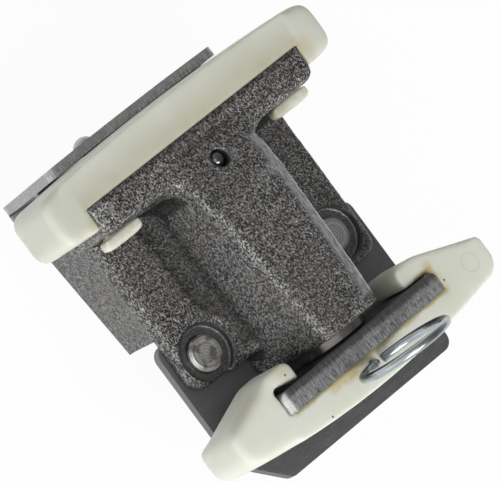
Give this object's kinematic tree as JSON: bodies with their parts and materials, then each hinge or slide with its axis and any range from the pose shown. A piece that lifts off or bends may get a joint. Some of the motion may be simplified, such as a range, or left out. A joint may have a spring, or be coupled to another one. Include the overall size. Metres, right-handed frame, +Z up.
{
  "type": "timing chain tensioner",
  "caption": "Hydraulic timing chain tensioner: cast body with a fixed nylon shoe, sprung plunger with a moving nylon shoe, and a pull-ring pin that locks it for fitting.",
  "frame": {"origin": "on the mounting face, below the plunger's axis, between the two tapped mounting holes", "axes": "+X along the shoes, +Y along the plunger's axis towards the fixed shoe, +Z up from the mounting face"},
  "size_m": [0.0826, 0.0835, 0.0668],
  "materials": {
    "cast": "sand cast, rough",
    "nylon": "moulded, slightly translucent ivory",
    "dark_plate": "dark satin rolled steel",
    "sheared_steel": "bare stamped steel with shear marks",
    "turned_steel": "turned",
    "plated_wire": "bright zinc plate",
    "spring_steel": "oiled"
  },
  "bodies": {
    "housing": {"housing": "cast", "fixed_shoe": "nylon", "back_plate": "dark_plate", "left_plate_rivet": "turned_steel", "right_plate_rivet": "turned_steel", "cover_plate": "sheared_steel", "spacer_plate": "sheared_steel", "cover_rivet": "turned_steel", "gallery_ball_plug": "turned_steel", "plunger_spring": "spring_steel", "check_valve_seat": "turned_steel", "check_ball_spring": "spring_steel", "check_valve_cage": "turned_steel", "stop_ring": "spring_steel"},
    "plunger": {"plunger": "turned_steel", "plunger_head": "sheared_steel", "moving_shoe": "nylon"},
    "lock_pin": {"lock_pin": "plated_wire"},
    "check_ball": {"check_ball": "turned_steel"}
  },
  "joints": [
    {"name": "plunger_slide", "type": "slide", "parent": "housing", "child": "plunger", "axis": [0, -1, 0], "range_m": [0, 0.01], "deforming": ["plunger_spring"]},
    {"name": "pin_pull", "type": "slide", "parent": "plunger", "child": "lock_pin", "axis": [0, 0, 1], "range_m": [0, 0.024]},
    {"name": "check_ball_lift", "type": "slide", "parent": "housing", "child": "check_ball", "axis": [0, -1, 0], "range_m": [0, 0.0006], "stiffness_N_per_m": 60, "deforming": ["check_ball_spring"]}
  ]
}
